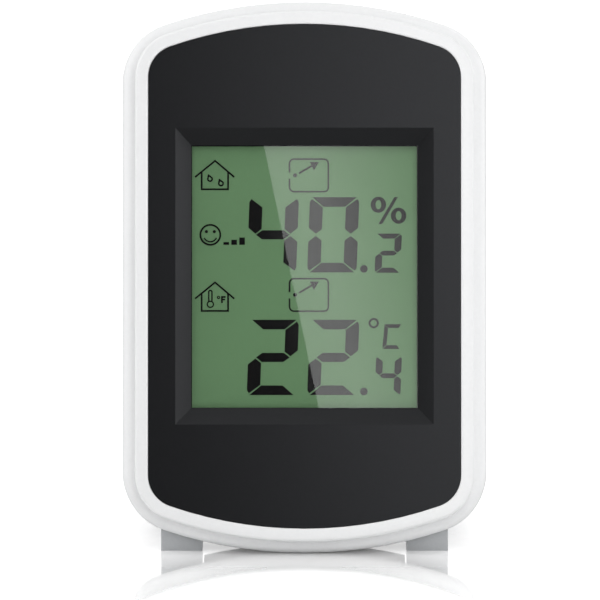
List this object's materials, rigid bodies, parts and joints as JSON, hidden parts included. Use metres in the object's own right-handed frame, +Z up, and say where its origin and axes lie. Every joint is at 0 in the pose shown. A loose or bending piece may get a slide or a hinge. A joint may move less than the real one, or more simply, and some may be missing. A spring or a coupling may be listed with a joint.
{
  "type": "temperature humidity sensor",
  "caption": "Desk thermometer and hygrometer: arched white housing with a bevelled black panel round a green display, twist-off battery cover, push button and fold-out stand.",
  "frame": {"origin": "on the table, under the middle of the box round the housing and its open stand", "axes": "+Z up, +X to the right as the face is seen, -Y the way the face looks"},
  "size_m": [0.062, 0.051, 0.092],
  "materials": {
    "white_plastic": "satin white moulded plastic",
    "grey_plastic": "satin light grey moulded plastic",
    "black_plastic": "matt black moulded plastic",
    "dark_rubber": "dark adhesive and silicone rubber",
    "clear_lens": "clear polished acrylic",
    "display_green": "grey-green reflective film",
    "display_glass": "thin clear glass",
    "cream_plastic": "off-white plastic",
    "board_green": "green solder mask",
    "steel": "plain bright steel",
    "chip_tan": "tan ceramic"
  },
  "bodies": {
    "housing": {"front_case": "white_plastic", "front_panel": "black_plastic", "panel_tape": "dark_rubber", "lens_tape": "dark_rubber", "window_lens": "clear_lens", "display_film": "display_green", "display_front_glass": "display_glass", "display_rear_glass": "display_glass", "display_reflector": "display_green", "display_frame": "cream_plastic", "connector_strip_top": "dark_rubber", "connector_strip_bottom": "dark_rubber", "main_board": "board_green", "controller_cap": "black_plastic", "clock_crystal": "steel", "board_chips": "chip_tan", "humidity_sensor": "cream_plastic", "button_switch": "steel", "board_screws": "steel", "negative_contact": "steel", "positive_contact": "steel", "coin_cell": "steel", "rear_case": "white_plastic", "case_screws": "steel"},
    "stand": {"stand": "grey_plastic"},
    "cover": {"battery_cover": "white_plastic"},
    "button": {"unit_button": "grey_plastic", "switch_plunger": "black_plastic"}
  },
  "joints": [
    {"name": "stand_hinge", "type": "hinge", "parent": "housing", "child": "stand", "pos_m": [0, -0.01456, 0.0046], "axis": [1, 0, 0], "range_deg": [0, 78]},
    {"name": "cover_twist", "type": "hinge", "parent": "housing", "child": "cover", "pos_m": [0, -0.00656, 0.02014], "axis": [0, 0.9781, -0.2079], "range_deg": [0, 40]},
    {"name": "button_press", "type": "slide", "parent": "housing", "child": "button", "axis": [0, -0.9781, 0.2079], "range_m": [0, 0.0004], "stiffness_N_per_m": 3000}
  ]
}
